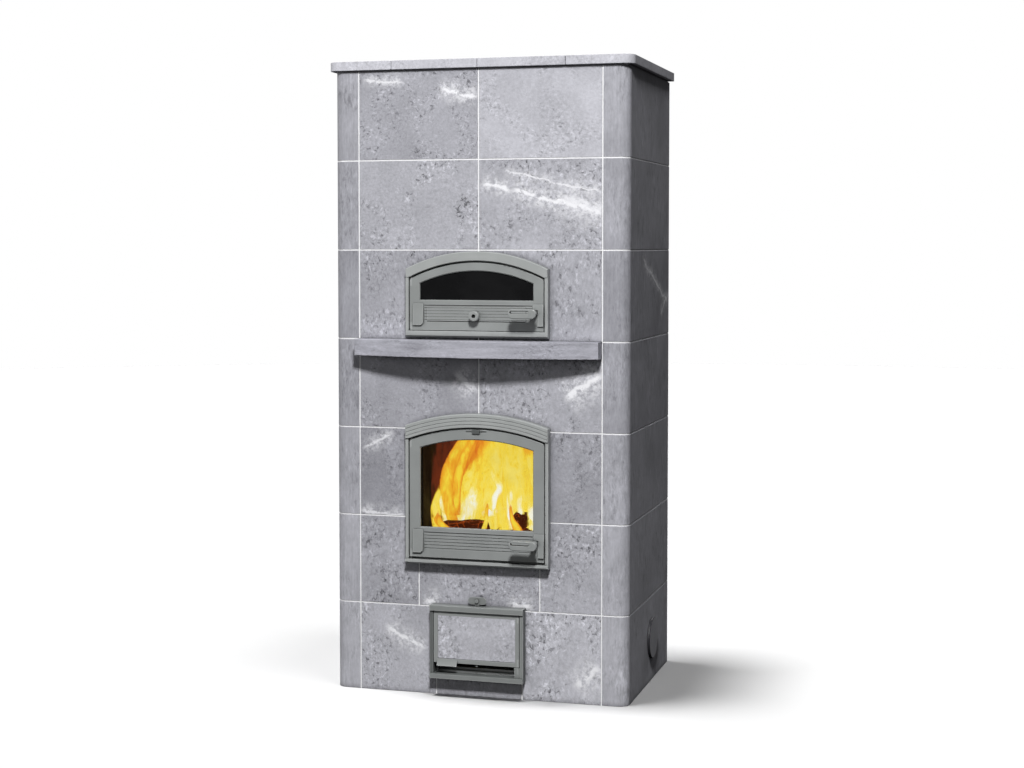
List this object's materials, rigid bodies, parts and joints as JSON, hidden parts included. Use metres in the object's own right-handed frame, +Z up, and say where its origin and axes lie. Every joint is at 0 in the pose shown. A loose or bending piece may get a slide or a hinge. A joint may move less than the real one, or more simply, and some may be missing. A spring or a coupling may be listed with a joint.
{
  "type": "tiled stove",
  "caption": "Upright heat-storing stove faced with soapstone slabs, with an arched glass fire door, an arched bake-oven door above a bowed shelf, and a low ash door.",
  "frame": {"origin": "centre of the footprint of the stone body on the floor", "axes": "+Z up, the front wall with its doors faces -Y, +X to the right seen from the front"},
  "size_m": [0.888, 0.66, 1.796],
  "materials": {
    "soapstone": "honed, fine speckle and white veins",
    "joint_mortar": "matte",
    "core_stone": "matte firebrick",
    "door_casting": "matte heat-resistant grey",
    "handle_metal": "satin grey",
    "raw_cast_iron": "raw",
    "plain_steel": "plain",
    "pan_steel": "matte black",
    "sweep_cover_metal": "matte grey",
    "sealing_rope": "woven",
    "door_glass": "clear heat-proof"
  },
  "bodies": {
    "stove": {"ash_chamber_walls": "core_stone", "ash_door_frame": "door_casting", "ash_pan": "pan_steel", "back_slabs": "soapstone", "base_slab": "core_stone", "cover_slab_1": "soapstone", "cover_slab_2": "soapstone", "cover_slab_3": "soapstone", "cover_slab_4": "soapstone", "fire_door_frame": "door_casting", "firebox_lining": "core_stone", "flue_collar": "plain_steel", "front_slab_1_left": "soapstone", "front_slab_1_right": "soapstone", "front_slab_1_sill": "soapstone", "front_slab_2_centre": "soapstone", "front_slab_2_left": "soapstone", "front_slab_2_right": "soapstone", "front_slab_3_left": "soapstone", "front_slab_3_right": "soapstone", "front_slab_4_left": "soapstone", "front_slab_4_right": "soapstone", "front_slab_5_left": "soapstone", "front_slab_5_right": "soapstone", "front_slabs_top": "soapstone", "grate": "raw_cast_iron", "hearth_slab": "core_stone", "hinge_pins": "plain_steel", "joint_mortar": "joint_mortar", "oven_door_frame": "door_casting", "oven_floor": "core_stone", "oven_lining": "core_stone", "oven_roof": "core_stone", "shelf": "soapstone", "shelf_dowels": "plain_steel", "side_slab_base_left": "soapstone", "side_slab_base_right": "soapstone", "side_slabs_left": "soapstone", "side_slabs_right": "soapstone", "upper_core": "core_stone"},
    "fire_door": {"fire_door_leaf": "door_casting", "fire_door_glass": "door_glass", "fire_door_glass_clips": "plain_steel", "fire_door_gasket": "sealing_rope"},
    "fire_handle": {"fire_door_handle": "handle_metal", "fire_door_pawl": "plain_steel"},
    "fire_air_slide": {"fire_air_slide": "door_casting"},
    "oven_door": {"oven_door_leaf": "door_casting", "oven_door_glass": "door_glass", "oven_door_glass_clips": "plain_steel", "oven_door_gasket": "sealing_rope"},
    "oven_handle": {"oven_door_handle": "handle_metal", "oven_door_pawl": "plain_steel"},
    "oven_air_control": {"oven_air_knob": "handle_metal", "oven_air_shutter": "plain_steel"},
    "ash_door": {"ash_door_leaf": "door_casting", "ash_door_insert": "soapstone"},
    "ash_air_slide": {"ash_air_slide": "door_casting"},
    "sweep_cover_left": {"sweep_cover_left": "sweep_cover_metal"},
    "sweep_cover_right": {"sweep_cover_right": "sweep_cover_metal"}
  },
  "joints": [
    {"name": "fire_door_hinge", "type": "hinge", "parent": "stove", "child": "fire_door", "pos_m": [-0.193, -0.305, 0.57], "axis": [0, 0, -1], "range_deg": [0, 90]},
    {"name": "fire_handle_turn", "type": "hinge", "parent": "fire_door", "child": "fire_handle", "pos_m": [0.172, -0.32, 0.448], "axis": [0, 1, 0], "range_deg": [0, 35]},
    {"name": "fire_air_slide", "type": "slide", "parent": "fire_door", "child": "fire_air_slide", "axis": [1, 0, 0], "range_m": [-0.015, 0.015]},
    {"name": "oven_door_hinge", "type": "hinge", "parent": "stove", "child": "oven_door", "pos_m": [-0.191, -0.305, 1.12], "axis": [0, 0, -1], "range_deg": [0, 90]},
    {"name": "oven_handle_turn", "type": "hinge", "parent": "oven_door", "child": "oven_handle", "pos_m": [0.17, -0.32, 1.0885], "axis": [0, 1, 0], "range_deg": [0, 35]},
    {"name": "oven_air_knob_turn", "type": "hinge", "parent": "oven_door", "child": "oven_air_control", "pos_m": [0, -0.32, 1.08], "axis": [0, 1, 0], "range_deg": [0, 45]},
    {"name": "ash_door_hinge", "type": "hinge", "parent": "stove", "child": "ash_door", "pos_m": [0.121, -0.305, 0.17], "axis": [0, 0, 1], "range_deg": [0, 100]},
    {"name": "ash_air_slide", "type": "slide", "parent": "stove", "child": "ash_air_slide", "axis": [1, 0, 0], "range_m": [-0.02, 0.02]},
    {"name": "sweep_cover_left_out", "type": "slide", "parent": "stove", "child": "sweep_cover_left", "axis": [-1, 0, 0], "range_m": [0, 0.12]},
    {"name": "sweep_cover_right_out", "type": "slide", "parent": "stove", "child": "sweep_cover_right", "axis": [1, 0, 0], "range_m": [0, 0.12]}
  ]
}
